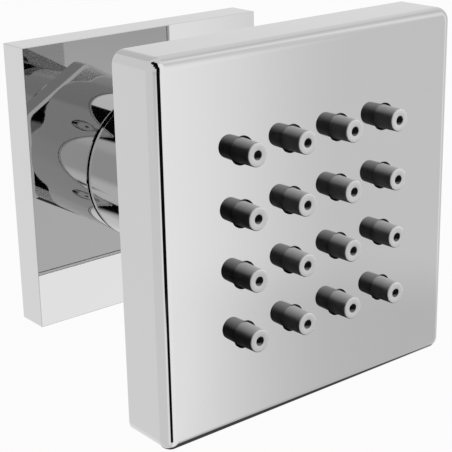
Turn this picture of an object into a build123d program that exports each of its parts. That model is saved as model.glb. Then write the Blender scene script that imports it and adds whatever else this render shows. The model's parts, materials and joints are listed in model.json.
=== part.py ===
from build123d import *
import os
from math import acos, atan, atan2, cos, degrees, radians, sin, sqrt, tan

# Shower body jet: a square jet head on a ball joint, standing off a square wall flange.
# The origin is on the inlet's axis at the wall. +Z is up, the jets face -Y and the inlet runs to +Y.
# A depth is a distance from the wall, counted towards the room. Millimetres throughout.

# Wall flange
flange_side = 51.0
flange_thickness = 6.3
flange_wall = 1.5
flange_edge_radius = 0.3
flange_hollow_radius = 1.0
flange_gasket_thickness = 1.2
flange_gasket_clearance = 0.15
hub_wall = 3.4
flange_bore_clearance = 0.2
flange_o_ring_section = 1.6

# Inlet, male G1/2, with its thread as ring grooves of the same pitch and depth
inlet_thread_radius = 10.48
inlet_length = 15.0
thread_pitch = 25.4 / 14
thread_depth = 1.162
thread_flank_angle = 27.5
shank_step = 0.3
inlet_chamfer = 1.2
inlet_bore_radius = 7.6
insert_clearance = 0.05
filter_recess = 1.0
filter_thickness = 2.0
filter_rim = 1.3
filter_mesh_thickness = 0.6
filter_hole_radius = 0.65
limiter_length = 6.0
limiter_cup_depth = 2.0
limiter_rim = 1.4
limiter_hole_radius = 0.8
limiter_hole_count = 6
limiter_o_ring_section = 1.8

# Swivel socket: a collar on the flange and the round body that holds the ball
socket_length = 19.9
socket_wall = 1.47
collar_lip = 0.2
collar_thickness = 0.75
collar_edge_radius = 0.2
key_across_flats = 8.0
well_clearance = 0.5

# Ball and its rings: the head pans and tilts by this angle either way
swivel_limit = 10.0
ball_radius = 10.0
ball_clearance = 0.15
slip_ring_thickness = 0.7
slip_ring_margin = 1.5
seal_near_angle = 62.0
seal_far_angle = 38.0
seal_back = 0.5
seal_wall = 0.65
seal_clearance = 0.1
seal_lip = 0.75

# Swivel nut
skirt_wall = 1.3
skirt_reach = 2.5
skirt_gap = 0.3
thread_clearance = 0.03
nut_lip = 0.4
mouth_clearance = 0.2
hex_step = 0.2
hex_depth = 4.3
hex_corner_radius = 1.0
hex_edge_chamfer = 0.5

# Neck of the ball and the collar that is screwed on it
neck_radius = 5.0
neck_setback = 1.0
ball_bore_radius = 3.0
nose_rim = 0.9
swing_clearance = 0.7
stem_collar_radius = 12.0
stem_collar_length = 6.65
stem_collar_edge_radius = 0.5
collar_o_ring_section = 1.4
spigot_wall = 3.5
spigot_clearance = 0.1
spigot_end = 0.3
lock_ring_thickness = 2.0
lock_ring_width = 4.0
lock_slot_width = 2.5
lock_slot_depth = 1.2

# Jet field
nozzle_rows = 4
nozzle_pitch = 10.0
nozzle_reach = 3.6
nozzle_base_radius = 1.95
nozzle_tip_radius = 1.85
nozzle_tip_fillet = 0.2
nozzle_hole_clearance = 0.3
nozzle_feed_radius = 1.2
jet_radius = 0.75
jet_length = 1.2

# Head
face_margin = 16.0
face_thickness = 1.3
mat_thickness = 1.4
nozzle_plate_thickness = 2.0
chamber_gap = 1.55
back_plate_thickness = 2.0
shell_wall = 0.75
head_corner_radius = 2.5
head_edge_radius = 2.0
head_back_radius = 0.35
recess_corner_radius = 1.75
plate_clearance = 0.1
ledge_width = 4.75
cavity_corner_radius = 12.0
head_gasket_width = 1.5
head_gasket_thickness = 1.0
head_gasket_inset = 0.8

# Screws
screw_radius = 1.25
screw_clearance = 0.05
screw_head_radius = 2.3
screw_drive_across_flats = 1.6
screw_drive_depth = 1.0
back_screw_head_height = 0.9
back_screw_drive_depth = 0.6
back_screw_length = 4.9
back_screw_inset = 5.45
screw_dish_radius = 3.9
screw_dish_depth = 1.1
plate_screw_head_height = 1.2
plate_screw_bite = 1.9
plate_boss_radius = 2.4

# Depths and radii that follow from the sizes above, from the wall outwards
collar_face = flange_thickness + collar_thickness
shank_radius = inlet_thread_radius + shank_step
flange_bore_radius = shank_radius + flange_bore_clearance
hub_depth = flange_thickness - flange_wall - flange_gasket_thickness
hub_middle = flange_gasket_thickness + hub_depth / 2
inlet_end = -inlet_length
inlet_bore_depth = filter_recess + filter_thickness + limiter_length

swing = acos(cos(radians(swivel_limit)) ** 2)
ring_inner_radius = ball_radius + ball_clearance
ring_outer_radius = ring_inner_radius + slip_ring_thickness
pocket_radius = ring_outer_radius + ball_clearance
skirt_radius = pocket_radius + skirt_wall
socket_bore_radius = skirt_radius + thread_clearance
socket_radius = socket_bore_radius + socket_wall
hex_apothem = socket_radius + hex_step
collar_radius = hex_apothem + collar_lip

# The mouth of the nut is a cone that the neck leans against at full swing
mouth_root = neck_radius / cos(swing) + mouth_clearance
mouth_slope = tan(swing)
mouth_a = 1 + mouth_slope**2
mouth_b = mouth_root * mouth_slope
mouth_c = mouth_root**2 - pocket_radius**2
mouth_rise = (sqrt(mouth_b**2 - mouth_a * mouth_c) - mouth_b) / mouth_a
mouth_angle = degrees(atan2(mouth_root + mouth_rise * mouth_slope, mouth_rise))
nut_reach = mouth_rise + nut_lip

hex_start = flange_thickness + socket_length
hex_end = hex_start + hex_depth
ball_reach = hex_end - nut_reach
skirt_end = ball_reach - skirt_reach
socket_floor = skirt_end - skirt_gap

slip_near_angle = 90 - swivel_limit
slip_far_angle = mouth_angle + swivel_limit + slip_ring_margin

seal_start = ball_reach - ring_inner_radius * cos(radians(seal_near_angle))
seal_end = ball_reach - ring_inner_radius * cos(radians(seal_far_angle)) - seal_back
seal_outer_radius = ring_inner_radius * sin(radians(seal_near_angle)) + seal_wall
seal_bore_radius = ring_inner_radius * sin(radians(seal_far_angle))

# Inside the socket: the seal's seat, a hollow that clears the ball above it and a well for the ball's nose
seat_radius = seal_outer_radius + seal_clearance
seat_floor = seal_end - seal_clearance
clear_radius = ball_radius + 2 * ball_clearance
seat_mouth = (seat_radius, ball_reach - sqrt(clear_radius**2 - seat_radius**2))
throat = (sqrt(clear_radius**2 - (ball_reach - socket_floor) ** 2), socket_floor)
throat_angle = degrees(atan2(throat[0] + seat_mouth[0], 2 * ball_reach - throat[1] - seat_mouth[1]))
well_radius = seal_bore_radius - seal_lip
well_floor = ball_reach - ball_radius - well_clearance

# The collar stays clear of the nut's face at full swing
swung_collar = stem_collar_radius * sin(swing)
stem_collar_start = ball_reach + (nut_reach + swing_clearance + swung_collar) / cos(swing)
spigot_radius = neck_radius + spigot_wall
collar_o_ring_radius = (spigot_radius + stem_collar_radius) / 2

head_back = stem_collar_start + stem_collar_length
neck_end = head_back - neck_setback
ledge_level = head_back + back_plate_thickness
chamber_end = ledge_level + lock_ring_thickness + chamber_gap
mat_back = chamber_end + nozzle_plate_thickness
face_back = mat_back + mat_thickness
face_reach = face_back + face_thickness
tip_reach = face_reach + nozzle_reach

grid_span = (nozzle_rows - 1) * nozzle_pitch
head_side = grid_span + 2 * face_margin
recess_side = head_side - 2 * shell_wall
cavity_side = recess_side - 2 * ledge_width
nozzle_hole_radius = nozzle_base_radius + nozzle_hole_clearance
back_screw_pitch = recess_side - 2 * back_screw_inset
plate_screw_offset = (grid_span / 2 + nozzle_base_radius + cavity_side / 2) / 2

# A turned profile is drawn with its radius along X and its depth towards -Y
turning = Plane(origin=(0, 0, 0), x_dir=(1, 0, 0), z_dir=(0, 0, -1))


def level(depth):
    return Plane.XZ.offset(depth)


def on_ball(radius, angle, side):
    """Point on a sphere round the ball's centre; side 1 faces the room, -1 the wall."""
    return (radius * sin(radians(angle)), ball_reach + side * radius * cos(radians(angle)))


def o_ring(ring_radius, depth, section):
    """O-ring about the inlet's axis."""
    with BuildPart() as ring:
        with BuildSketch(turning):
            with Locations((ring_radius, depth)):
                Circle(section / 2)
        revolve(axis=Axis.Y)
    return ring.part


# Wall flange: a square cover, hollow behind, with a hub round the inlet
with BuildPart() as wall_flange:
    with BuildSketch(level(0)):
        Rectangle(flange_side, flange_side)
    extrude(amount=flange_thickness)
    fillet(wall_flange.faces().sort_by(Axis.Y)[0].edges(), radius=flange_edge_radius)
    with BuildSketch(level(0)):
        hollow_side = flange_side - 2 * flange_wall
        RectangleRounded(hollow_side, hollow_side, flange_hollow_radius)
    extrude(amount=flange_thickness - flange_wall, mode=Mode.SUBTRACT)
    with BuildSketch(level(flange_gasket_thickness)):
        Circle(flange_bore_radius + hub_wall)
    extrude(amount=hub_depth)
    with BuildSketch(level(0)):
        Circle(flange_bore_radius)
    extrude(amount=flange_thickness, mode=Mode.SUBTRACT)
    with BuildSketch(turning):
        with Locations((shank_radius + flange_o_ring_section / 2, hub_middle)):
            Rectangle(flange_o_ring_section, flange_o_ring_section)
    revolve(axis=Axis.Y, mode=Mode.SUBTRACT)
wall_flange.part.label = "wall_flange"

with BuildPart() as flange_gasket:
    with BuildSketch(level(0)):
        gasket_side = hollow_side - 2 * flange_gasket_clearance
        RectangleRounded(gasket_side, gasket_side, flange_hollow_radius)
        Circle(flange_bore_radius, mode=Mode.SUBTRACT)
    extrude(amount=flange_gasket_thickness)
flange_gasket.part.label = "flange_gasket"

with BuildPart() as flange_o_ring:
    add(o_ring(shank_radius + flange_o_ring_section / 2, hub_middle, flange_o_ring_section))
flange_o_ring.part.label = "flange_o_ring"

# Swivel socket: inlet, collar and ball housing in one, with a six-sided waterway that takes a key
with BuildPart() as swivel_socket:
    flank = thread_depth * tan(radians(thread_flank_angle))
    flat = thread_pitch / 2 - flank
    thread_root = inlet_thread_radius - thread_depth
    thread_start = inlet_end + inlet_chamfer
    thread = []
    for turn in range(int(-thread_start / thread_pitch)):
        groove = thread_start + flat + turn * thread_pitch
        thread += [
            (inlet_thread_radius, groove),
            (thread_root, groove + flank),
            (thread_root, groove + flank + flat),
            (inlet_thread_radius, groove + 2 * flank + flat),
        ]
    with BuildSketch(turning):
        with BuildLine():
            Polyline(
                (0, hex_start),
                (0, inlet_end),
                (inlet_thread_radius - inlet_chamfer, inlet_end),
                (inlet_thread_radius, thread_start),
                *thread,
                (inlet_thread_radius, 0),
                (shank_radius, 0),
                (shank_radius, flange_thickness),
                (collar_radius, flange_thickness),
                (collar_radius, collar_face),
                (socket_radius, collar_face),
                (socket_radius, hex_start),
                close=True,
            )
        make_face()
    revolve(axis=Axis.Y)
    flats = swivel_socket.faces().filter_by(Axis.Y)
    collar_front = flats.sort_by(lambda f: abs(f.center().Y + collar_face))[0]
    fillet(collar_front.outer_wire().edges(), radius=collar_edge_radius)
    with BuildSketch(turning):
        with BuildLine():
            Polyline(
                seat_mouth,
                (seat_radius, seat_floor),
                (well_radius, seat_floor),
                (well_radius, well_floor),
                (0, well_floor),
                (0, hex_start),
                (socket_bore_radius, hex_start),
                (socket_bore_radius, socket_floor),
                throat,
            )
            ThreePointArc(throat, on_ball(clear_radius, throat_angle, -1), seat_mouth)
        make_face()
    revolve(axis=Axis.Y, mode=Mode.SUBTRACT)
    with BuildSketch(level(inlet_end)):
        RegularPolygon(key_across_flats / 2, 6, major_radius=False)
    extrude(amount=well_floor - inlet_end, mode=Mode.SUBTRACT)
    with BuildSketch(level(inlet_end)):
        Circle(inlet_bore_radius)
    extrude(amount=inlet_bore_depth, mode=Mode.SUBTRACT)
swivel_socket.part.label = "swivel_socket"

# Inlet inserts: the strainer outermost, the flow limiter on the bore's floor
insert_radius = inlet_bore_radius - insert_clearance
filter_start = inlet_end + filter_recess
limiter_start = filter_start + filter_thickness

with BuildPart() as filter_screen:
    with BuildSketch(level(filter_start)):
        Circle(insert_radius)
    extrude(amount=filter_thickness)
    with BuildSketch(level(filter_start + filter_mesh_thickness)):
        Circle(insert_radius - filter_rim)
    extrude(amount=filter_thickness - filter_mesh_thickness, mode=Mode.SUBTRACT)
    mesh_radius = insert_radius - filter_rim - filter_hole_radius
    with BuildSketch(level(filter_start)):
        Circle(filter_hole_radius)
        with PolarLocations(mesh_radius * 0.46, 6):
            Circle(filter_hole_radius)
        with PolarLocations(mesh_radius * 0.9, 12):
            Circle(filter_hole_radius)
    extrude(amount=filter_mesh_thickness, mode=Mode.SUBTRACT)
filter_screen.part.label = "filter_screen"

with BuildPart() as flow_limiter:
    with BuildSketch(level(limiter_start)):
        Circle(insert_radius)
    extrude(amount=limiter_length)
    with BuildSketch(level(limiter_start)):
        Circle(insert_radius - limiter_rim)
    extrude(amount=limiter_cup_depth, mode=Mode.SUBTRACT)
    with BuildSketch(level(limiter_start)):
        with PolarLocations((key_across_flats / 2 - limiter_hole_radius) * 0.9, limiter_hole_count):
            Circle(limiter_hole_radius)
    extrude(amount=limiter_length, mode=Mode.SUBTRACT)
    limiter_groove = limiter_start + (limiter_cup_depth + limiter_length) / 2
    with BuildSketch(turning):
        with Locations((inlet_bore_radius - limiter_o_ring_section / 2, limiter_groove)):
            Rectangle(limiter_o_ring_section, limiter_o_ring_section)
    revolve(axis=Axis.Y, mode=Mode.SUBTRACT)
flow_limiter.part.label = "flow_limiter"

with BuildPart() as limiter_o_ring:
    add(o_ring(inlet_bore_radius - limiter_o_ring_section / 2, limiter_groove, limiter_o_ring_section))
limiter_o_ring.part.label = "limiter_o_ring"

# Slip ring: a thin zone of a sphere between the ball and the nut
with BuildPart() as slip_ring:
    slip_middle_angle = (slip_near_angle + slip_far_angle) / 2
    with BuildSketch(turning):
        with BuildLine():
            ThreePointArc(*[on_ball(ring_inner_radius, a, 1)
                            for a in (slip_far_angle, slip_middle_angle, slip_near_angle)])
            Line(*[on_ball(r, slip_near_angle, 1) for r in (ring_inner_radius, ring_outer_radius)])
            ThreePointArc(*[on_ball(ring_outer_radius, a, 1)
                            for a in (slip_near_angle, slip_middle_angle, slip_far_angle)])
            Line(*[on_ball(r, slip_far_angle, 1) for r in (ring_outer_radius, ring_inner_radius)])
        make_face()
    revolve(axis=Axis.Y)
slip_ring.part.label = "slip_ring"

# Ball seal: a seat ring in the socket, hollowed to the ball
with BuildPart() as ball_seal:
    seal_middle_angle = (seal_near_angle + seal_far_angle) / 2
    with BuildSketch(turning):
        with BuildLine():
            ThreePointArc(*[on_ball(ring_inner_radius, a, -1)
                            for a in (seal_near_angle, seal_middle_angle, seal_far_angle)])
            Polyline(
                on_ball(ring_inner_radius, seal_far_angle, -1),
                (seal_bore_radius, seal_end),
                (seal_outer_radius, seal_end),
                (seal_outer_radius, seal_start),
                on_ball(ring_inner_radius, seal_near_angle, -1),
            )
        make_face()
    revolve(axis=Axis.Y)
ball_seal.part.label = "ball_seal"

# Swivel nut: a hexagon with a skirt that screws into the socket and keeps the ball in it
with BuildPart() as swivel_nut:
    with BuildSketch(level(skirt_end)):
        Circle(skirt_radius)
    extrude(amount=hex_start - skirt_end)
    with BuildSketch(level(hex_start)) as hexagon:
        RegularPolygon(hex_apothem, 6, major_radius=False, rotation=30)
        fillet(hexagon.vertices(), radius=hex_corner_radius)
    extrude(amount=hex_depth)
    flats = swivel_nut.faces().filter_by(Axis.Y)
    hex_back = flats.sort_by(lambda f: abs(f.center().Y + hex_start))[0]
    chamfer(hex_back.outer_wire().edges(), length=hex_edge_chamfer)
    with BuildSketch(turning):
        with BuildLine():
            Polyline(
                (pocket_radius, ball_reach),
                (pocket_radius, skirt_end),
                (0, skirt_end),
                (0, hex_end),
                (mouth_root + mouth_slope * nut_reach, hex_end),
                (mouth_root + mouth_slope * mouth_rise, ball_reach + mouth_rise),
            )
            ThreePointArc(*[on_ball(pocket_radius, a, 1) for a in (mouth_angle, (mouth_angle + 90) / 2, 90)])
        make_face()
    revolve(axis=Axis.Y, mode=Mode.SUBTRACT)
swivel_nut.part.label = "swivel_nut"

# Ball and neck, bored through for the water
with BuildPart() as ball_stem:
    nose_radius = ball_bore_radius + nose_rim
    ball_nose = ball_reach - sqrt(ball_radius**2 - nose_radius**2)
    ball_root = ball_reach + sqrt(ball_radius**2 - neck_radius**2)
    with BuildSketch(turning):
        with BuildLine():
            Polyline(
                (nose_radius, ball_nose),
                (ball_bore_radius, ball_nose),
                (ball_bore_radius, neck_end),
                (neck_radius, neck_end),
                (neck_radius, ball_root),
            )
            ThreePointArc((neck_radius, ball_root), (ball_radius, ball_reach), (nose_radius, ball_nose))
        make_face()
    revolve(axis=Axis.Y)
ball_stem.part.label = "ball_stem"

# Collar: screwed on the neck behind the nut, with a spigot that is locked in the back plate
with BuildPart() as stem_collar:
    collar_bore_radius = neck_radius + thread_clearance
    spigot_tip = ledge_level + lock_ring_thickness + spigot_end
    with BuildSketch(turning):
        with BuildLine():
            Polyline(
                (collar_bore_radius, stem_collar_start),
                (stem_collar_radius, stem_collar_start),
                (stem_collar_radius, head_back),
                (spigot_radius, head_back),
                (spigot_radius, spigot_tip),
                (collar_bore_radius, spigot_tip),
                close=True,
            )
        make_face()
        with Locations((collar_o_ring_radius, head_back - collar_o_ring_section / 2)):
            Rectangle(collar_o_ring_section, collar_o_ring_section, mode=Mode.SUBTRACT)
    revolve(axis=Axis.Y)
    collar_back = stem_collar.faces().filter_by(Axis.Y).sort_by(Axis.Y)[-1]
    fillet(collar_back.outer_wire().edges(), radius=stem_collar_edge_radius)
stem_collar.part.label = "stem_collar"

with BuildPart() as collar_o_ring:
    add(o_ring(collar_o_ring_radius, head_back - collar_o_ring_section / 2, collar_o_ring_section))
collar_o_ring.part.label = "collar_o_ring"

with BuildPart() as lock_ring:
    lock_ring_radius = spigot_radius + lock_ring_width
    with BuildSketch(level(ledge_level)):
        Circle(lock_ring_radius)
        Circle(spigot_radius + thread_clearance, mode=Mode.SUBTRACT)
        with PolarLocations(lock_ring_radius, 6):
            Rectangle(2 * lock_slot_depth, lock_slot_width, mode=Mode.SUBTRACT)
    extrude(amount=lock_ring_thickness)
lock_ring.part.label = "lock_ring"

# Back plate: fills the recess in the head's back, with a dish round each screw
with BuildPart() as back_plate:
    plate_side = recess_side - 2 * plate_clearance
    with BuildSketch(level(head_back)):
        RectangleRounded(plate_side, plate_side, recess_corner_radius)
        Circle(spigot_radius + spigot_clearance, mode=Mode.SUBTRACT)
        with GridLocations(back_screw_pitch, back_screw_pitch, 2, 2):
            Circle(screw_radius + screw_clearance, mode=Mode.SUBTRACT)
    extrude(amount=back_plate_thickness)
    with BuildSketch(level(head_back)):
        with GridLocations(back_screw_pitch, back_screw_pitch, 2, 2):
            Circle(screw_dish_radius)
    extrude(amount=screw_dish_depth, taper=45, mode=Mode.SUBTRACT)
back_plate.part.label = "back_plate"

with BuildPart() as back_screws:
    dish_floor = head_back + screw_dish_depth
    with BuildSketch(level(dish_floor - back_screw_head_height)):
        with GridLocations(back_screw_pitch, back_screw_pitch, 2, 2):
            Circle(screw_head_radius)
    extrude(amount=back_screw_head_height)
    with BuildSketch(level(dish_floor)):
        with GridLocations(back_screw_pitch, back_screw_pitch, 2, 2):
            Circle(screw_radius)
    extrude(amount=back_screw_length)
    with BuildSketch(level(dish_floor - back_screw_head_height)):
        with GridLocations(back_screw_pitch, back_screw_pitch, 2, 2):
            RegularPolygon(screw_drive_across_flats / 2, 6, major_radius=False)
    extrude(amount=back_screw_drive_depth, mode=Mode.SUBTRACT)
back_screws.part.label = "back_screws"

# Cord seal round the water chamber, in a groove in the shell's ledge
with BuildPart() as head_gasket:
    groove_inner_side = cavity_side + 2 * head_gasket_inset
    groove_outer_side = groove_inner_side + 2 * head_gasket_width
    groove_inner_corner = cavity_corner_radius + head_gasket_inset
    with BuildSketch(level(ledge_level)) as gasket_ring:
        RectangleRounded(groove_outer_side, groove_outer_side, groove_inner_corner + head_gasket_width)
        RectangleRounded(groove_inner_side, groove_inner_side, groove_inner_corner, mode=Mode.SUBTRACT)
    extrude(amount=head_gasket_thickness)
head_gasket.part.label = "head_gasket"

# Face shell: rounded square front with 16 holes, hollowed from behind for the plate, the chamber and the mat
with BuildPart() as face_shell:
    with BuildSketch(level(head_back)):
        RectangleRounded(head_side, head_side, head_corner_radius)
    extrude(amount=face_reach - head_back)
    fillet(face_shell.faces().sort_by(Axis.Y)[0].edges(), radius=head_edge_radius)
    fillet(face_shell.faces().sort_by(Axis.Y)[-1].edges(), radius=head_back_radius)
    with BuildSketch(level(head_back)):
        RectangleRounded(recess_side, recess_side, recess_corner_radius)
    extrude(amount=back_plate_thickness, mode=Mode.SUBTRACT)
    with BuildSketch(level(ledge_level)):
        RectangleRounded(cavity_side, cavity_side, cavity_corner_radius)
    extrude(amount=face_back - ledge_level, mode=Mode.SUBTRACT)
    add(head_gasket.part, mode=Mode.SUBTRACT)
    with BuildSketch(level(mat_back)):
        with PolarLocations(plate_screw_offset, 4):
            Circle(plate_boss_radius)
    extrude(amount=mat_thickness)
    with BuildSketch(level(mat_back)):
        with PolarLocations(plate_screw_offset, 4):
            Circle(screw_radius + screw_clearance)
    extrude(amount=plate_screw_bite + screw_clearance, mode=Mode.SUBTRACT)
    with BuildSketch(level(ledge_level)):
        with GridLocations(back_screw_pitch, back_screw_pitch, 2, 2):
            Circle(screw_radius + screw_clearance)
    screw_hole_depth = screw_dish_depth + back_screw_length - back_plate_thickness + screw_clearance
    extrude(amount=screw_hole_depth, mode=Mode.SUBTRACT)
    with BuildSketch(level(face_back)):
        with GridLocations(nozzle_pitch, nozzle_pitch, nozzle_rows, nozzle_rows):
            Circle(nozzle_hole_radius)
    extrude(amount=face_thickness, mode=Mode.SUBTRACT)
face_shell.part.label = "face_shell"

# Nozzle mat: a sheet behind the face with 16 soft nozzles that stand through its holes
with BuildPart() as nozzle_mat:
    mat_side = cavity_side - 2 * plate_clearance
    mat_corner = cavity_corner_radius - plate_clearance
    nozzle_height = tip_reach - face_back
    nozzle_taper = degrees(atan((nozzle_base_radius - nozzle_tip_radius) / nozzle_height))
    with BuildSketch(level(mat_back)):
        RectangleRounded(mat_side, mat_side, mat_corner)
        with PolarLocations(plate_screw_offset, 4):
            Circle(plate_boss_radius + plate_clearance, mode=Mode.SUBTRACT)
    extrude(amount=mat_thickness)
    with BuildSketch(level(face_back)):
        with GridLocations(nozzle_pitch, nozzle_pitch, nozzle_rows, nozzle_rows):
            Circle(nozzle_base_radius)
    extrude(amount=nozzle_height, taper=nozzle_taper)
    tips = nozzle_mat.faces().filter_by(Axis.Y).group_by(Axis.Y)[0]
    fillet(tips.edges(), radius=nozzle_tip_fillet)
    with BuildSketch(level(mat_back)):
        with GridLocations(nozzle_pitch, nozzle_pitch, nozzle_rows, nozzle_rows):
            Circle(nozzle_feed_radius)
    extrude(amount=tip_reach - jet_length - mat_back, mode=Mode.SUBTRACT)
    with BuildSketch(level(mat_back)):
        with GridLocations(nozzle_pitch, nozzle_pitch, nozzle_rows, nozzle_rows):
            Circle(jet_radius)
    extrude(amount=tip_reach - mat_back, mode=Mode.SUBTRACT)
nozzle_mat.part.label = "nozzle_mat"

# Nozzle plate: presses the mat to the face and feeds each nozzle through its own hole
with BuildPart() as nozzle_plate:
    with BuildSketch(level(chamber_end)):
        RectangleRounded(mat_side, mat_side, mat_corner)
        with PolarLocations(plate_screw_offset, 4):
            Circle(screw_radius + screw_clearance, mode=Mode.SUBTRACT)
        with GridLocations(nozzle_pitch, nozzle_pitch, nozzle_rows, nozzle_rows):
            Circle(nozzle_feed_radius, mode=Mode.SUBTRACT)
    extrude(amount=nozzle_plate_thickness)
nozzle_plate.part.label = "nozzle_plate"

with BuildPart() as plate_screws:
    with BuildSketch(level(chamber_end - plate_screw_head_height)):
        with PolarLocations(plate_screw_offset, 4):
            Circle(screw_head_radius)
    extrude(amount=plate_screw_head_height)
    with BuildSketch(level(chamber_end)):
        with PolarLocations(plate_screw_offset, 4):
            Circle(screw_radius)
    extrude(amount=nozzle_plate_thickness + plate_screw_bite)
    with BuildSketch(level(chamber_end - plate_screw_head_height)):
        with PolarLocations(plate_screw_offset, 4):
            RegularPolygon(screw_drive_across_flats / 2, 6, major_radius=False)
    extrude(amount=screw_drive_depth, mode=Mode.SUBTRACT)
plate_screws.part.label = "plate_screws"

pieces = [
    wall_flange, flange_gasket, flange_o_ring, swivel_socket, filter_screen, flow_limiter, limiter_o_ring,
    ball_seal, slip_ring, swivel_nut, ball_stem, stem_collar, collar_o_ring, lock_ring,
    back_plate, back_screws, head_gasket, face_shell, nozzle_mat, nozzle_plate, plate_screws,
]
os.makedirs("parts", exist_ok=True)
for piece in pieces:
    export_step(piece.part, f"parts/{piece.part.label}.step")

print(f"head {head_side:.2f} square, {face_reach - head_back:.2f} thick")
print(f"wall to face {face_reach:.2f}, wall to nozzle tips {tip_reach:.2f}, wall to ball's centre {ball_reach:.3f}")
print(f"socket {2 * socket_radius:.2f} across, hexagon from {hex_start:.2f} to {hex_end:.2f}")
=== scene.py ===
import json
import math

import bmesh
import bpy
from mathutils import Matrix, Vector


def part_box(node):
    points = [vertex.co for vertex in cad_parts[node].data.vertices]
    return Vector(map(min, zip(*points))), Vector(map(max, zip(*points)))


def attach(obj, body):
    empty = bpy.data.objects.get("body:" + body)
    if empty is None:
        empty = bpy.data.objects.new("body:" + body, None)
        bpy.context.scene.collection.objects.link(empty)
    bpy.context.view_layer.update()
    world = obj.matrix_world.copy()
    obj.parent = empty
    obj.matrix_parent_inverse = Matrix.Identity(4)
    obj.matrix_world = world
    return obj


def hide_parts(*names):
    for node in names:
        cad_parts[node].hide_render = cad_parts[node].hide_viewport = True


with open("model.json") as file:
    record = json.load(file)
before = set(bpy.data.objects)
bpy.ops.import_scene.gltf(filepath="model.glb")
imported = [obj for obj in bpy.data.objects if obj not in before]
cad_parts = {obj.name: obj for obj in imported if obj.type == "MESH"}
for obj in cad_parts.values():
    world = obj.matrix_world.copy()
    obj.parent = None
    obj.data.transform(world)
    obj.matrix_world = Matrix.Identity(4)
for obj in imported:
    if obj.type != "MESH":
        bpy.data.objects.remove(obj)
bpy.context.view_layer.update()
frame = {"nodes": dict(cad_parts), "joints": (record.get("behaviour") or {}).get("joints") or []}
nodes = frame["nodes"]
scene = bpy.context.scene
mm = 0.001
print("frame loaded with", len(nodes), "pieces")

# The wall plane is y = 0 and the jets face -Y, so a depth from the wall is -y
ballDepth = -frame["joints"][0]["pos_m"][1] / mm  # the hinges cross at the ball's centre
jets = {"pitch": 10.0, "rows": 4, "bore": 0.75}  # shared by the face, the mat and its rubber


def depthRange(node):
    low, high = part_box(node)
    return -high.y / mm, -low.y / mm


def halfSide(node):
    low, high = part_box(node)
    return (high.x - low.x) / 2 / mm


# Shader writing: a socket that takes part in Python sums, and a pen that adds nodes
class Val:
    def __init__(self, pen, socket):
        self.pen = pen
        self.socket = socket

    def __add__(self, other):
        return self.pen.sum("ADD", self, other)

    def __radd__(self, other):
        return self.pen.sum("ADD", other, self)

    def __sub__(self, other):
        return self.pen.sum("SUBTRACT", self, other)

    def __rsub__(self, other):
        return self.pen.sum("SUBTRACT", other, self)

    def __mul__(self, other):
        return self.pen.sum("MULTIPLY", self, other)

    def __rmul__(self, other):
        return self.pen.sum("MULTIPLY", other, self)

    def __truediv__(self, other):
        return self.pen.sum("DIVIDE", self, other)

    def __rtruediv__(self, other):
        return self.pen.sum("DIVIDE", other, self)

    def __pow__(self, other):
        return self.pen.sum("POWER", self, other)


class Pen:
    def __init__(self, tree):
        self.tree = tree

    def plug(self, made, sockets):  # links a Val, and writes anything else on the socket itself
        for key, value in sockets.items():
            if isinstance(value, Val):
                self.tree.links.new(value.socket, made.inputs[key])
            else:
                made.inputs[key].default_value = value

    def node(self, kind, settings=None, sockets=None):
        made = self.tree.nodes.new(kind)
        for key, value in (settings or {}).items():
            setattr(made, key, value)
        self.plug(made, sockets or {})
        return made

    def out(self, made, name=0):
        return Val(self, made.outputs[name])

    def sum(self, operation, *values):
        return self.out(self.node("ShaderNodeMath", {"operation": operation}, dict(enumerate(values))))

    def steps(self, value, low, high):  # smooth ramp from 0 at low to 1 at high
        sockets = {"Value": value, "From Min": low, "From Max": high}
        return self.out(self.node("ShaderNodeMapRange", {"interpolation_type": "SMOOTHSTEP"}, sockets))

    def blend(self, share, first, second):  # mix of two colours
        made = self.node("ShaderNodeMix", {"data_type": "RGBA"}, {0: share, 6: first, 7: second})
        return self.out(made, 2)

    def place(self, scale=(1, 1, 1), turn=(0, 0, 0)):  # object coordinates, turned and stretched
        coords = self.out(self.node("ShaderNodeTexCoord"), "Object")
        made = self.node("ShaderNodeMapping", None, {"Vector": coords, "Rotation": turn, "Scale": scale})
        return self.out(made)

    def noise(self, where, scale, detail=3.0, rough=0.5):
        sockets = {"Vector": where, "Scale": scale, "Detail": detail, "Roughness": rough}
        return self.out(self.node("ShaderNodeTexNoise", None, sockets), "Fac")

    def bump(self, height, strength, depth):  # depth in millimetres
        sockets = {"Strength": strength, "Distance": depth * mm, "Height": height}
        return self.out(self.node("ShaderNodeBump", None, sockets))


def grey(level):
    return (level, level, level, 1.0)


def shaded(colour, share):
    return tuple(c * share for c in colour[:3]) + (1.0,)


def finish(name):  # an empty material and its principled shader
    made = bpy.data.materials.new(name)
    made.use_nodes = True
    return made, Pen(made.node_tree), made.node_tree.nodes["Principled BSDF"]


# Materials
chromeLook = {"tint": 0.56, "spread": 0.02, "cloud": 55.0, "rough": 0.022, "wipe": 0.03,
              "wipeScale": 26.0, "wipeStretch": 9, "wipeTurn": 0.6, "wipeBand": (0.45, 0.8)}


def polishedChrome(name):
    made, pen, shader = finish(name)
    lie = pen.place((1, 1, chromeLook["wipeStretch"]), (0, chromeLook["wipeTurn"], 0))
    wipes = pen.noise(lie, chromeLook["wipeScale"], detail=4.0, rough=0.6)
    cloud = pen.noise(pen.place(), chromeLook["cloud"], detail=2.0)
    tone = pen.blend(cloud, grey(chromeLook["tint"] - chromeLook["spread"]), grey(chromeLook["tint"]))
    rough = chromeLook["rough"] + chromeLook["wipe"] * pen.steps(wipes, *chromeLook["wipeBand"])
    pen.plug(shader, {"Base Color": tone, "Metallic": 1.0, "Roughness": rough})
    return made


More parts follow.
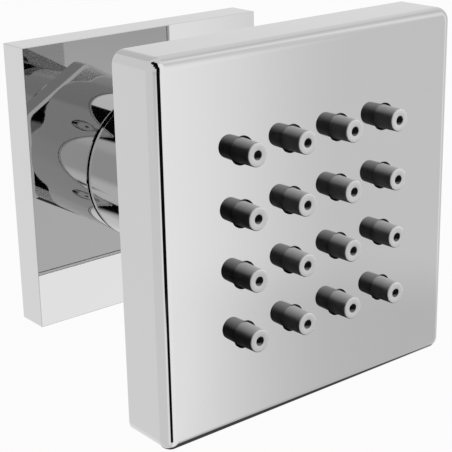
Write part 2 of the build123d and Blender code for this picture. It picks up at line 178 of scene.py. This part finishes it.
# the tip tone paints light on the tips, and the darkest tone paints shade in the bores
rubberLook = {"side": 0.41, "tip": 0.52, "tipBand": (0.4, 0.1), "boreShade": 0.13, "boreShadeBand": (0.06, -0.01),
              "fleck": 0.2, "fleckTone": 0.7, "fleckScale": 2600.0, "grain": 900.0, "bump": 0.15,
              "bumpDepth": 0.02, "rough": 0.5, "roughSpread": 0.12, "shine": 0.05}


def nozzleRubber(name):
    made, pen, shader = finish(name)
    fleck = pen.noise(pen.place(), rubberLook["fleckScale"], rough=0.6)
    grain = pen.noise(pen.place(), rubberLook["grain"], detail=4.0, rough=0.7)
    spot = pen.node("ShaderNodeSeparateXYZ", None, {"Vector": pen.place()})
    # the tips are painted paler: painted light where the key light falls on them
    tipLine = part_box("nozzle_mat")[0].y
    paleFrom, paleTo = (tipLine + depth * mm for depth in rubberLook["tipBand"])
    tipLightPaint = pen.steps(pen.out(spot, "Y"), paleFrom, paleTo)
    # painted shade darkens the bore: distance from the axis of the nearest nozzle
    pitch = jets["pitch"]
    across, upward = (pen.sum("FRACT", pen.out(spot, axis) / (pitch * mm)) - 0.5 for axis in "XZ")
    fromAxis = (across * across + upward * upward) ** 0.5 * pitch
    shadeFrom, shadeTo = (jets["bore"] + beyond for beyond in rubberLook["boreShadeBand"])
    boreShade = pen.steps(fromAxis, shadeFrom, shadeTo)
    body = pen.blend(tipLightPaint, grey(rubberLook["side"]), grey(rubberLook["tip"]))
    dark = grey(rubberLook["side"] * rubberLook["fleckTone"])
    body = pen.blend(fleck * rubberLook["fleck"], body, dark)
    pen.plug(shader, {
        "Base Color": pen.blend(boreShade, body, grey(rubberLook["boreShade"])),
        "Roughness": rubberLook["rough"] + rubberLook["roughSpread"] * grain,
        "Normal": pen.bump(grain, rubberLook["bump"], rubberLook["bumpDepth"]),
        "Specular IOR Level": rubberLook["shine"],
    })
    return made


sealLook = {"dark": 0.02, "pale": 0.044, "grain": 1400.0, "bump": 0.2, "bumpDepth": 0.03,
            "rough": 0.5, "roughSpread": 0.2}


def sealRubber(name):
    made, pen, shader = finish(name)
    grain = pen.noise(pen.place(), sealLook["grain"], detail=4.0, rough=0.65)
    pen.plug(shader, {
        "Base Color": pen.blend(grain, grey(sealLook["dark"]), grey(sealLook["pale"])),
        "Roughness": sealLook["rough"] + sealLook["roughSpread"] * grain,
        "Normal": pen.bump(grain, sealLook["bump"], sealLook["bumpDepth"]),
    })
    return made


foamLook = {"dark": 0.035, "pale": 0.09, "cells": 1500.0, "cellShare": 0.7, "cloud": 160.0,
            "cloudShare": 0.4, "bump": 0.5, "bumpDepth": 0.12, "rough": 0.8, "roughSpread": 0.15}


def gasketFoam(name):
    made, pen, shader = finish(name)
    cells = {"Vector": pen.place(), "Scale": foamLook["cells"]}
    cell = pen.out(pen.node("ShaderNodeTexVoronoi", {"feature": "F1"}, cells), "Distance")
    cloud = pen.noise(pen.place(), foamLook["cloud"])
    share = cell * foamLook["cellShare"] + cloud * foamLook["cloudShare"]
    pen.plug(shader, {
        "Base Color": pen.blend(share, grey(foamLook["dark"]), grey(foamLook["pale"])),
        "Roughness": foamLook["rough"] + foamLook["roughSpread"] * cloud,
        "Normal": pen.bump(cell, foamLook["bump"], foamLook["bumpDepth"]),
    })
    return made


plasticLook = {"grain": 1100.0, "flow": 70.0, "flowStretch": 3, "shade": 0.82, "bump": 0.12,
               "bumpDepth": 0.02, "roughSpread": 0.15}


def mouldedPlastic(name, colour, rough=0.42):
    made, pen, shader = finish(name)
    grain = pen.noise(pen.place(), plasticLook["grain"], rough=0.6)
    flow = pen.noise(pen.place((1, plasticLook["flowStretch"], 1)), plasticLook["flow"], detail=2.0)
    pen.plug(shader, {
        "Base Color": pen.blend(flow, shaded(colour, plasticLook["shade"]), colour),
        "Roughness": rough + plasticLook["roughSpread"] * grain,
        "Normal": pen.bump(grain, plasticLook["bump"], plasticLook["bumpDepth"]),
    })
    return made


turnedLook = {"rings": 900.0, "waver": 0.6, "waverDetail": 2.0, "ringShare": 0.6, "cloud": 240.0,
              "cloudShare": 0.4, "shade": 0.86, "roughSpread": 0.12}


def turnedMetal(name, colour, rough=0.24):
    made, pen, shader = finish(name)
    rings = {
        "Vector": pen.place(),
        "Scale": turnedLook["rings"],
        "Distortion": turnedLook["waver"],
        "Detail": turnedLook["waverDetail"],
    }
    wave = pen.node("ShaderNodeTexWave", {"wave_type": "RINGS", "rings_direction": "Y"}, rings)
    lathe = pen.out(wave, "Fac")
    cloud = pen.noise(pen.place(), turnedLook["cloud"])
    share = lathe * turnedLook["ringShare"] + cloud * turnedLook["cloudShare"]
    tone = pen.blend(share, shaded(colour, turnedLook["shade"]), colour)
    rough = rough + turnedLook["roughSpread"] * lathe
    pen.plug(shader, {"Base Color": tone, "Metallic": 1.0, "Roughness": rough})
    return made


chrome = polishedChrome("polishedChrome")
rubber = nozzleRubber("nozzleRubber")
blackSeal = sealRubber("sealRubber")
foam = gasketFoam("gasketFoam")
filterPlastic = mouldedPlastic("filterPlastic", (0.10, 0.15, 0.26, 1.0))
limiterPlastic = mouldedPlastic("limiterPlastic", (0.70, 0.70, 0.66, 1.0), rough=0.38)
slipPlastic = mouldedPlastic("slipPlastic", (0.80, 0.80, 0.78, 1.0), rough=0.3)
innerPlastic = mouldedPlastic("innerPlastic", (0.05, 0.05, 0.055, 1.0))
lockBrass = turnedMetal("lockBrass", (0.72, 0.55, 0.28, 1.0))
screwSteel = turnedMetal("screwSteel", (0.56, 0.56, 0.57, 1.0), rough=0.05)
print("materials written")

# Mesh helpers; a profile is a list of (radius, depth) points
weld = 1e-7  # metres
slack = 0.01  # millimetres
squareOn = 0.99  # least share of a flat face's normal along y
hexSides = 6


def clamp(value):
    return min(1.0, max(0.0, value))


def hexCorner(apothem):
    return apothem / math.cos(math.pi / hexSides)


def arc(centre, radius, start, end, count):  # a profile's round, angles in degrees from the radius axis
    angles = [math.radians(start + (end - start) * i / count) for i in range(count + 1)]
    return [(centre[0] + radius * math.cos(a), centre[1] + radius * math.sin(a)) for a in angles]


def turned(bm, profile, steps):
    verts = [bm.verts.new((radius * mm, -depth * mm, 0)) for radius, depth in profile]
    edges = [bm.edges.new(pair) for pair in zip(verts, verts[1:])]
    bmesh.ops.spin(
        bm, geom=verts + edges, cent=(0, 0, 0), axis=(0, 1, 0), angle=math.tau,
        steps=steps, use_merge=True,
    )
    bmesh.ops.remove_doubles(bm, verts=bm.verts, dist=weld)


def rounded(bm, geom, radius, steps, affect="EDGES"):
    bmesh.ops.bevel(
        bm, geom=geom, offset=radius * mm, offset_type="OFFSET", affect=affect,
        segments=steps, profile=0.5, material=-1,
    )


def block(bm, half, near, far, corner, steps):  # square between two depths, its upright edges rounded
    bmesh.ops.create_cube(bm, size=1.0)
    bmesh.ops.scale(bm, vec=(2 * half * mm, (far - near) * mm, 2 * half * mm), verts=bm.verts)
    bmesh.ops.translate(bm, vec=(0, -(near + far) / 2 * mm, 0), verts=bm.verts)
    upright = [e for e in bm.edges if abs(e.verts[0].co.y - e.verts[1].co.y) > weld]
    rounded(bm, upright, corner, steps)


def flatAt(bm, depth, facing):  # the flat face at a depth that looks at the wall (1) or the room (-1)
    faces = [f for f in bm.faces if f.normal.y * facing > squareOn]
    return min(faces, key=lambda f: abs(f.calc_center_median().y + depth * mm))


def edgesOf(verts):
    return list(dict.fromkeys(e for v in verts for e in v.link_edges))


def vertsOf(edges):
    return list(dict.fromkeys(v for e in edges for v in e.verts))


def ring(bm, centre, radius, depth, segments):
    turn = Matrix.Rotation(math.pi / 2, 4, "X")
    place = Matrix.Translation((centre[0] * mm, -depth * mm, centre[1] * mm)) @ turn
    made = bmesh.ops.create_circle(bm, segments=segments, radius=radius * mm, matrix=place)
    return edgesOf(made["verts"])


def squareRing(bm, half, depth):
    turn = Matrix.Rotation(math.pi / 2, 4, "X") @ Matrix.Rotation(math.pi / 4, 4, "Z")
    place = Matrix.Translation((0, -depth * mm, 0)) @ turn
    made = bmesh.ops.create_circle(bm, segments=4, radius=half * math.sqrt(2) * mm, matrix=place)
    return edgesOf(made["verts"])


def fill(bm, edges, facing):
    bmesh.ops.triangle_fill(bm, use_beauty=True, use_dissolve=False, edges=edges, normal=(0, facing, 0))


def reopen(bm, face):  # takes a flat face out and gives back its outline
    rim = list(face.edges)
    bmesh.ops.delete(bm, geom=[face], context="FACES_ONLY")
    return rim


def trace(bm, rim, centre, path):  # draws a rim along a profile, round its own centre
    space = Matrix.Translation((-centre[0] * mm, 0, -centre[1] * mm))
    radius, depth = path[0]
    for nextRadius, nextDepth in path[1:]:
        made = bmesh.ops.extrude_edge_only(bm, edges=rim)["geom"]
        verts = [v for v in made if isinstance(v, bmesh.types.BMVert)]
        known = set(verts)
        rim = [e for e in made if isinstance(e, bmesh.types.BMEdge) and known.issuperset(e.verts)]
        share = nextRadius / radius
        bmesh.ops.scale(bm, vec=(share, 1, share), space=space, verts=verts)
        bmesh.ops.translate(bm, vec=(0, -(nextDepth - depth) * mm, 0), verts=verts)
        radius, depth = nextRadius, nextDepth
    return rim


def grid(pitch, count):
    first = -(count - 1) / 2 * pitch
    return [(first + i * pitch, first + j * pitch) for i in range(count) for j in range(count)]


def settle(bm, name, material, body, stands, sharp=32.0):  # mesh to object, on its body
    bmesh.ops.remove_doubles(bm, verts=bm.verts, dist=weld)
    bmesh.ops.recalc_face_normals(bm, faces=bm.faces)
    mesh = bpy.data.meshes.new(name)
    bm.to_mesh(mesh)
    bm.free()
    mesh.materials.append(material)
    mesh.shade_smooth()
    mesh.set_sharp_from_angle(angle=math.radians(sharp))
    made = bpy.data.objects.new(name, mesh)
    scene.collection.objects.link(made)
    weighted = made.modifiers.new("flatNormals", "WEIGHTED_NORMAL")
    weighted.keep_sharp = True
    weighted.weight = 100
    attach(made, body)
    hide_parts(stands)
    print(name, len(mesh.polygons), "faces")


# Face shell: rounded square front with its jet holes, hollow behind
shell = {"corner": 2.25, "edge": 2.0, "steps": 14, "backEdge": 0.35, "backSteps": 10, "wall": 0.75,
         "plate": 2.0, "face": 1.3, "ledge": 4.75, "cavityCorner": 12.0, "hole": 2.25, "holeSteps": 48,
         "holeEdge": 0.1, "holeEdgeSteps": 3, "sharp": 10.0}


def faceShell():
    bm = bmesh.new()
    back, front = depthRange("face_shell")
    half = halfSide("face_shell")
    block(bm, half, back, front, shell["corner"], shell["steps"])
    rounded(bm, list(flatAt(bm, front, -1).edges), shell["edge"], shell["steps"])
    rounded(bm, list(flatAt(bm, back, 1).edges), shell["backEdge"], shell["backSteps"])
    # recess for the back plate
    rear = flatAt(bm, back, 1)
    lip = (shell["wall"] - shell["backEdge"]) * mm
    bmesh.ops.inset_individual(bm, faces=[rear], thickness=lip, use_even_offset=True)
    sunk = bmesh.ops.extrude_discrete_faces(bm, faces=[rear])["faces"][0]
    bmesh.ops.translate(bm, vec=(0, -shell["plate"] * mm, 0), verts=sunk.verts)
    ledgeDepth = back + shell["plate"]
    skin = front - shell["face"]
    ledgeRim = reopen(bm, sunk)
    # water chamber
    side = half - shell["wall"] - shell["ledge"]
    square = vertsOf(squareRing(bm, side, ledgeDepth))
    rounded(bm, square, shell["cavityCorner"], shell["steps"], "VERTICES")
    chamber = [e for e in bm.edges if e.is_wire]
    fill(bm, ledgeRim + chamber, 1)
    chamberEnd = trace(bm, chamber, (0, 0), [(1.0, ledgeDepth), (1.0, skin)])
    # jet holes, through the face into the chamber
    holes = grid(jets["pitch"], jets["rows"])
    hole, edge = shell["hole"], shell["holeEdge"]
    rims = [ring(bm, at, hole + edge, front, shell["holeSteps"]) for at in holes]
    faceRim = reopen(bm, flatAt(bm, front, -1))
    fill(bm, faceRim + [e for rim in rims for e in rim], -1)
    mouth = arc((hole + edge, front - edge), edge, 90, 180, shell["holeEdgeSteps"])
    ends = [trace(bm, rim, at, mouth + [(hole, skin)]) for rim, at in zip(rims, holes)]
    fill(bm, chamberEnd + [e for end in ends for e in end], 1)
    settle(bm, "faceShell", chrome, "head", "face_shell", shell["sharp"])


# Nozzle mat: one moulding whose nozzles stand through the face
mat = {"corner": 11.9, "cornerSteps": 10, "thickness": 1.4, "base": 1.95, "tip": 1.85, "steps": 44,
       "round": 0.2, "roundSteps": 5, "boreEdge": 0.05, "boreEdgeSteps": 2, "boreLength": 1.2, "feed": 1.2}


def nozzleMat():
    bm = bmesh.new()
    back, tip = depthRange("nozzle_mat")
    front = back + mat["thickness"]
    block(bm, halfSide("nozzle_mat"), back, front, mat["corner"], mat["cornerSteps"])
    places = grid(jets["pitch"], jets["rows"])
    rims = [ring(bm, at, mat["base"], front, mat["steps"]) for at in places]
    outline = reopen(bm, flatAt(bm, front, -1))
    fill(bm, outline + [e for rim in rims for e in rim], -1)
    tipRound, boreEdge = mat["round"], mat["boreEdge"]
    boreEnd = tip - mat["boreLength"]
    path = [(mat["base"], front)]
    path += arc((mat["tip"] - tipRound, tip - tipRound), tipRound, 0, 90, mat["roundSteps"])
    path += arc((jets["bore"] + boreEdge, tip - boreEdge), boreEdge, 90, 180, mat["boreEdgeSteps"])
    path += [(jets["bore"], boreEnd), (mat["feed"], boreEnd), (mat["feed"], back)]
    ends = [trace(bm, rim, at, path) for rim, at in zip(rims, places)]
    rear = reopen(bm, flatAt(bm, back, 1))
    fill(bm, rear + [e for end in ends for e in end], 1)
    settle(bm, "nozzleMat", rubber, "head", "nozzle_mat")


# Back plate with a dish round each of its four screws
plate = {"corner": 1.75, "cornerSteps": 8, "edge": 0.12, "edgeSteps": 2, "hole": 8.6, "holeSteps": 72,
         "screwAt": 24.8, "dish": 3.9, "dishDepth": 1.1, "dishSteps": 48, "shank": 1.3}
screw = {"head": 2.3, "steps": 40, "edge": 0.2, "edgeSteps": 4, "headDepth": 0.9, "shank": 1.25,
         "drive": 0.92, "driveDepth": 0.6}


def cornersAt(offset):
    return [(x, z) for x in (-offset, offset) for z in (-offset, offset)]


def backPlate():
    bm = bmesh.new()
    back, front = depthRange("back_plate")
    block(bm, halfSide("back_plate"), back, front, plate["corner"], plate["cornerSteps"])
    rounded(bm, list(flatAt(bm, back, 1).edges), plate["edge"], plate["edgeSteps"])
    corners = cornersAt(plate["screwAt"])
    centre = ring(bm, (0, 0), plate["hole"], back, plate["holeSteps"])
    dishes = [ring(bm, at, plate["dish"], back, plate["dishSteps"]) for at in corners]
    rear = reopen(bm, flatAt(bm, back, 1))
    fill(bm, rear + centre + [e for dish in dishes for e in dish], 1)
    floor = back + plate["dishDepth"]
    path = [(plate["dish"], back), (plate["dish"] - plate["dishDepth"], floor)]
    path += [(plate["shank"], floor), (plate["shank"], front)]
    ends = [trace(bm, dish, at, path) for dish, at in zip(dishes, corners)]
    through = trace(bm, centre, (0, 0), [(plate["hole"], back), (plate["hole"], front)])
    inner = reopen(bm, flatAt(bm, front, -1))
    fill(bm, inner + through + [e for end in ends for e in end], -1)
    settle(bm, "backPlate", chrome, "head", "back_plate")


def backScrews():
    bm = bmesh.new()
    top, tip = depthRange("back_screws")
    head, edge, shank = screw["head"], screw["edge"], screw["shank"]
    floor = top + screw["headDepth"]
    body = arc((head - edge, top + edge), edge, -90, 0, screw["edgeSteps"])
    body += [(head, floor), (shank, floor), (shank, tip)]
    recess = [(screw["drive"], top), (screw["drive"], top + screw["driveDepth"])]
    for at in cornersAt(plate["screwAt"]):
        rim = ring(bm, at, head - edge, top, screw["steps"])
        drive = ring(bm, at, screw["drive"], top, hexSides)
        fill(bm, rim + drive, 1)
        bmesh.ops.edgeloop_fill(bm, edges=trace(bm, rim, at, body))
        bmesh.ops.edgeloop_fill(bm, edges=trace(bm, drive, at, recess))
    settle(bm, "backScrews", screwSteel, "head", "back_screws")


# Swivel socket: the inlet's thread, a collar on the flange and the round body that holds the ball
socket = {"thread": 10.48, "threadDepth": 1.16, "pitch": 1.814, "crest": 0.12, "flanks": 0.76, "rows": 120,
          "runOutFrom": 0.2, "runOut": 1.2, "relief": 0.9, "reliefLength": 1.6, "chamfer": 1.2,
          "bore": 7.6, "boreEdge": 0.3, "boreFloor": -6.0, "keyFlats": 8.0, "shank": 10.78, "land": 11.4,
          "gap": 0.32, "collar": 13.92, "collarDepth": 0.75, "taper": 0.08, "collarEdge": 0.03,
          "collarSteps": 4, "radius": 13.8, "steps": 144, "mouth": 12.33, "mouthFloor": 19.16,
          "seat": 9.71, "seatFloor": 13.36, "well": 5.5, "wellFloor": 11.46}


def keyHole(bm, half, corner):  # makes the round way through the web a hexagon for the key
    sector = math.tau / hexSides
    for v in bm.verts:
        radius = math.hypot(v.co.x, v.co.z) / mm
        if radius < corner + slack:
            fromFlat = math.atan2(v.co.z, v.co.x) % sector - sector / 2
            share = half / math.cos(fromFlat) / radius
            v.co.x *= share
            v.co.z *= share


# The thread winds left-handed as drawn; it has a chamfer at the inlet's end and a relief at the wall
def cutThread(bm, inletEnd):
    for v in bm.verts:
        depth = -v.co.y / mm
        radius = math.hypot(v.co.x, v.co.z) / mm
        if abs(radius - socket["thread"]) > slack or depth > -slack:
            continue
        turns = depth / socket["pitch"] + math.atan2(v.co.z, v.co.x) / math.tau
        wave = abs((turns % 1.0) * 2 - 1)
        groove = clamp((wave - socket["crest"]) / socket["flanks"]) * socket["threadDepth"]
        fade = clamp((-depth - socket["runOutFrom"]) / socket["runOut"])
        endCut = max(0.0, socket["chamfer"] - (depth - inletEnd))
        relief = socket["relief"] if depth > -socket["reliefLength"] else 0.0
        share = (socket["thread"] - max(groove * fade, endCut, relief)) / radius
        v.co.x *= share
        v.co.z *= share


def swivelSocket():
    bm = bmesh.new()
    inletEnd, hexStart = depthRange("swivel_socket")
    flangeFront = depthRange("wall_flange")[1]
    collarFace = flangeFront + socket["collarDepth"]
    rows, bore, boreEdge, edge = socket["rows"], socket["bore"], socket["boreEdge"], socket["collarEdge"]
    keyHalf = socket["keyFlats"] / 2
    key = hexCorner(keyHalf)
    # inlet
    profile = [(key, socket["boreFloor"]), (bore, socket["boreFloor"])]
    profile += [(bore, inletEnd + boreEdge), (bore + boreEdge, inletEnd)]
    profile += [(socket["thread"], inletEnd * (1 - i / rows)) for i in range(rows + 1)]
    # shank through the flange, and the collar with the relief under it
    profile += [(socket["shank"], 0.0), (socket["shank"], flangeFront), (socket["land"], flangeFront)]
    profile += [(radius, flangeFront + socket["gap"]) for radius in (socket["land"], socket["collar"])]
    rim = socket["collar"] - socket["taper"] - edge
    profile += arc((rim, collarFace - edge), edge, 0, 90, socket["collarSteps"])
    # body and its hollow
    profile += [(socket["radius"], collarFace), (socket["radius"], hexStart)]
    profile += [(socket["mouth"], hexStart), (socket["mouth"], socket["mouthFloor"])]
    profile += [(socket["seat"], socket["mouthFloor"]), (socket["seat"], socket["seatFloor"])]
    profile += [(socket["well"], socket["seatFloor"]), (socket["well"], socket["wellFloor"])]
    profile += [(key, socket["wellFloor"]), (key, socket["boreFloor"])]
    turned(bm, profile, socket["steps"])
    keyHole(bm, keyHalf, key)
    cutThread(bm, inletEnd)
    settle(bm, "swivelSocket", chrome, "wall_side", "swivel_socket")


# Swivel nut: a hexagon with a skirt inside the socket, hollowed for the ball
nut = {"apothem": 14.0, "hexDepth": 4.3, "hexRound": 1.0, "roundSteps": 6, "hexEdge": 0.5, "skirt": 12.3,
       "steps": 96, "pocket": 11.0, "pocketSteps": 12, "lip": 0.4, "mouth": 7.5, "sharp": 20.0}


def swivelNut():
    bm = bmesh.new()
    start, end = depthRange("swivel_nut")
    hexStart = end - nut["hexDepth"]
    six = vertsOf(ring(bm, (0, 0), hexCorner(nut["apothem"]), end, hexSides))
    rounded(bm, six, nut["hexRound"], nut["roundSteps"], "VERTICES")
    hexRim = list(bm.edges)
    inset = (nut["apothem"] - nut["hexEdge"]) / nut["apothem"]
    side = trace(bm, hexRim, (0, 0), [(1.0, end), (1.0, hexStart + nut["hexEdge"]), (inset, hexStart)])
    skirt = ring(bm, (0, 0), nut["skirt"], hexStart, nut["steps"])
    fill(bm, side + skirt, 1)
    rise = math.degrees(math.asin((end - nut["lip"] - ballDepth) / nut["pocket"]))
    inside = [(nut["skirt"], hexStart), (nut["skirt"], start), (nut["pocket"], start)]
    inside += arc((0, ballDepth), nut["pocket"], 0, rise, nut["pocketSteps"]) + [(nut["mouth"], end)]
    mouth = trace(bm, skirt, (0, 0), inside)
    fill(bm, hexRim + mouth, -1)
    settle(bm, "swivelNut", chrome, "wall_side", "swivel_nut", nut["sharp"])


# Ball stem: the ball in the socket and its neck through the nut's mouth
stem = {"ball": 10.0, "ballSteps": 48, "neck": 5.0, "bore": 3.0, "nose": 3.9, "steps": 128}


def ballStem():
    bm = bmesh.new()
    start, end = depthRange("ball_stem")
    low = -math.degrees(math.acos(stem["nose"] / stem["ball"]))
    high = math.degrees(math.acos(stem["neck"] / stem["ball"]))
    profile = [(stem["bore"], start)] + arc((0, ballDepth), stem["ball"], low, high, stem["ballSteps"])
    profile += [(stem["neck"], end), (stem["bore"], end), (stem["bore"], start)]
    turned(bm, profile, stem["steps"])
    settle(bm, "ballStem", chrome, "head", "ball_stem")


# Stem collar: screwed on the neck behind the nut, with a spigot through the back plate
collar = {"radius": 12.0, "steps": 128, "edge": 0.5, "edgeSteps": 6, "bore": 5.03, "spigot": 8.5,
          "groove": (9.55, 10.95), "grooveDepth": 1.4}


def stemCollar():
    bm = bmesh.new()
    start, end = depthRange("stem_collar")
    headBack = depthRange("back_plate")[0]
    radius, edge, bore = collar["radius"], collar["edge"], collar["bore"]
    grooveIn, grooveOut = collar["groove"]
    floor = headBack - collar["grooveDepth"]
    profile = [(bore, start)] + arc((radius - edge, start + edge), edge, -90, 0, collar["edgeSteps"])
    profile += [(radius, headBack), (grooveOut, headBack), (grooveOut, floor), (grooveIn, floor)]
    profile += [(grooveIn, headBack), (collar["spigot"], headBack), (collar["spigot"], end)]
    profile += [(bore, end), (bore, start)]
    turned(bm, profile, collar["steps"])
    settle(bm, "stemCollar", chrome, "head", "stem_collar")


# Wall flange: square cover, hollow behind
flange = {"edge": 0.12, "edgeSteps": 4, "upright": 0.15, "uprightSteps": 3, "wall": 1.5, "face": 1.5,
          "hole": 10.98, "hub": 14.38, "hubEnd": 1.2, "steps": 96, "groove": 12.38, "grooveAt": (2.2, 3.8)}


def wallFlange():
    bm = bmesh.new()
    back, front = depthRange("wall_flange")
    half = halfSide("wall_flange")
    hole, hub, hubEnd, groove = flange["hole"], flange["hub"], flange["hubEnd"], flange["groove"]
    block(bm, half, back, front, flange["upright"], flange["uprightSteps"])
    rounded(bm, list(flatAt(bm, front, -1).edges), flange["edge"], flange["edgeSteps"])
    inside = front - flange["face"]
    hollow = squareRing(bm, half - flange["wall"], back)
    rear = reopen(bm, flatAt(bm, back, 1))
    fill(bm, rear + hollow, 1)
    ceiling = trace(bm, hollow, (0, 0), [(1.0, back), (1.0, inside)])
    frontHole = ring(bm, (0, 0), hole, front, flange["steps"])
    outline = reopen(bm, flatAt(bm, front, -1))
    fill(bm, outline + frontHole, -1)
    hubFoot = ring(bm, (0, 0), hub, inside, flange["steps"])
    fill(bm, ceiling + hubFoot, 1)
    near, far = flange["grooveAt"]
    path = [(hole, front), (hole, far), (groove, far), (groove, near), (hole, near), (hole, hubEnd)]
    trace(bm, frontHole, (0, 0), path)
    trace(bm, hubFoot, (0, 0), [(hub, inside), (hub, hubEnd), (hole, hubEnd)])
    settle(bm, "wallFlange", chrome, "wall_side", "wall_flange")


wallFlange()
swivelSocket()
swivelNut()
ballStem()
stemCollar()
backPlate()
backScrews()
faceShell()
nozzleMat()

# Pieces that keep their solid's shape
keptFinish = {
    "flange_gasket": foam,
    "flange_o_ring": blackSeal, "limiter_o_ring": blackSeal, "collar_o_ring": blackSeal,
    "ball_seal": blackSeal, "head_gasket": blackSeal,
    "filter_screen": filterPlastic, "flow_limiter": limiterPlastic, "slip_ring": slipPlastic,
    "nozzle_plate": innerPlastic,
    "lock_ring": lockBrass, "plate_screws": screwSteel,
}
for name, look in keptFinish.items():
    nodes[name].material_slots[0].material = look
print("kept pieces painted")

# Studio: what the polished metal mirrors, a soft key light and a pale floor
studio = {"base": 1.0, "white": 0.97, "ambient": 0.004}
# azimuth from the room side towards +X and elevation, in degrees, the softness of each, and brightness
cards = [
    {"az": (-200, -128), "el": (-90, 5), "soft": (10, 10), "light": 1.07},
    {"az": (-200, -148), "el": (-90, 5), "soft": (4, 10), "light": 1.14},
    {"az": (120, 200), "el": (-60, -12), "soft": (10, 8), "light": 1.25},
    {"az": (110, 170), "el": (2, 22), "soft": (10, 6), "light": 0.94},
    {"az": (140, 200), "el": (22, 55), "soft": (10, 6), "light": 0.80},
    {"az": (-200, -172), "el": (22, 55), "soft": (6, 6), "light": 0.80},
    {"az": (-60, -28), "el": (-14, 14), "soft": (20, 8), "light": 0.80},
    {"az": (-42, -24), "el": (-60, -14), "soft": (6, 8), "light": 1.22},
    {"az": (41, 54), "el": (-25, 20), "soft": (8, 8), "light": 0.94},
    {"az": (-5, 39.5), "el": (-70, 60), "soft": (10, 10), "light": 1.36},
    {"az": (54, 68), "el": (-30, 70), "soft": (8, 8), "light": 1.22},
    {"az": (82, 100), "el": (-60, 60), "soft": (12, 12), "light": 0.86},
    {"az": (41, 70), "el": (-70, -21.5), "soft": (14, 3), "light": 0.80},
    {"az": (50, 190), "el": (-95, -46), "soft": (12, 5), "light": 0.08},
    {"az": (-29.5, -1), "el": (-23, 37), "soft": (1.5, 2), "light": 0.005},
    {"az": (-24, -1), "el": (-36, -22), "soft": (1.5, 2), "light": 0.005},
    {"az": (-45, -8), "el": (31, 78), "soft": (3, 3), "light": 0.005},
    {"az": (-66, -40), "el": (45, 80), "soft": (3, 3), "light": 0.005},
    {"az": (-138, -60), "el": (59, 80), "soft": (4, 4), "light": 0.005},
]


def skyBox():
    world = bpy.data.worlds.new("studio")
    scene.world = world
    world.use_nodes = True
    pen = Pen(world.node_tree)
    aim = pen.out(pen.node("ShaderNodeTexCoord"), "Generated")
    parts = pen.node("ShaderNodeSeparateXYZ", None, {"Vector": aim})
    x, y, z = (pen.out(parts, axis) for axis in "XYZ")
    azimuth = pen.sum("DEGREES", pen.sum("ARCTAN2", x, 0 - y))
    elevation = pen.sum("DEGREES", pen.sum("ARCSINE", z))
    light = studio["base"]
    for card in cards:
        inside = 1.0
        for value, span, soft in zip((azimuth, elevation), (card["az"], card["el"]), card["soft"]):
            low, high = span
            inside = inside * pen.steps(value, low - soft / 2, low + soft / 2)
            inside = inside * pen.steps(value, high + soft / 2, high - soft / 2)
        light = light * (1 - inside) + card["light"] * inside
    # the camera sees plain white, and a diffuse bounce finds the room almost dark
    path = pen.node("ShaderNodeLightPath")
    seen = pen.out(path, "Is Camera Ray")
    scattered = pen.sum("MINIMUM", pen.out(path, "Diffuse Depth"), 1.0)
    light = light * (1 - scattered) + studio["ambient"] * scattered
    light = light * (1 - seen) + studio["white"] * seen
    pen.plug(world.node_tree.nodes["Background"], {"Color": light, "Strength": 1.0})


keyLight = {"toward": (0.45, -1.0, 0.74), "distance": 0.7, "size": 0.16, "watts": 6.1}


def softKey():
    lamp = bpy.data.lights.new("softKey", "AREA")
    lamp.shape = "DISK"
    lamp.size = keyLight["size"]
    lamp.energy = keyLight["watts"]
    made = bpy.data.objects.new("softKey", lamp)
    scene.collection.objects.link(made)
    away = Vector(keyLight["toward"]).normalized()
    made.location = away * keyLight["distance"]
    made.rotation_mode = "QUATERNION"
    made.rotation_quaternion = (-away).to_track_quat("-Z", "Y")
    made.visible_glossy = False


floorLook = {"below": 0.35, "radius": 0.42, "steps": 96, "tone": 0.86, "spread": 0.04, "cloud": 6.0,
             "rough": 0.7, "glow": 0.7}


def paleFloor():
    bm = bmesh.new()
    down = Matrix.Translation((0, 0, -floorLook["below"]))
    bmesh.ops.create_circle(
        bm, cap_ends=True, segments=floorLook["steps"], radius=floorLook["radius"], matrix=down
    )
    mesh = bpy.data.meshes.new("paleFloor")
    bm.to_mesh(mesh)
    bm.free()
    made, pen, shader = finish("paleFloor")
    cloud = pen.noise(pen.place(), floorLook["cloud"], detail=2.0)
    tone = pen.blend(cloud, grey(floorLook["tone"]), grey(floorLook["tone"] + floorLook["spread"]))
    pen.plug(shader, {
        "Base Color": tone,
        "Roughness": floorLook["rough"],
        "Emission Color": tone,
        "Emission Strength": floorLook["glow"],
    })
    mesh.materials.append(made)
    floor = bpy.data.objects.new("paleFloor", mesh)
    scene.collection.objects.link(floor)
    floor.visible_glossy = False
    floor.visible_diffuse = False


view = {"from": (-134.36, -196.655, 68.08), "at": (0.0, -28.30, -6.38), "roll": -1.184, "lens": 103.67,
        "sensor": 36.0, "clip": (0.01, 20.0)}


def photoCamera():
    data = bpy.data.cameras.new("photoCamera")
    data.sensor_width = view["sensor"]
    data.lens = view["lens"]
    data.clip_start, data.clip_end = view["clip"]
    made = bpy.data.objects.new("photoCamera", data)
    scene.collection.objects.link(made)
    made.location = Vector(view["from"]) * mm
    aim = Vector(view["at"]) - Vector(view["from"])
    level = aim.to_track_quat("-Z", "Y").to_matrix().to_4x4()
    turn = level @ Matrix.Rotation(math.radians(view["roll"]), 4, "Z")
    made.rotation_mode = "QUATERNION"
    made.rotation_quaternion = turn.to_quaternion()
    scene.camera = made


skyBox()
softKey()
paleFloor()
photoCamera()
scene.view_settings.view_transform = "Standard"
print("studio set")
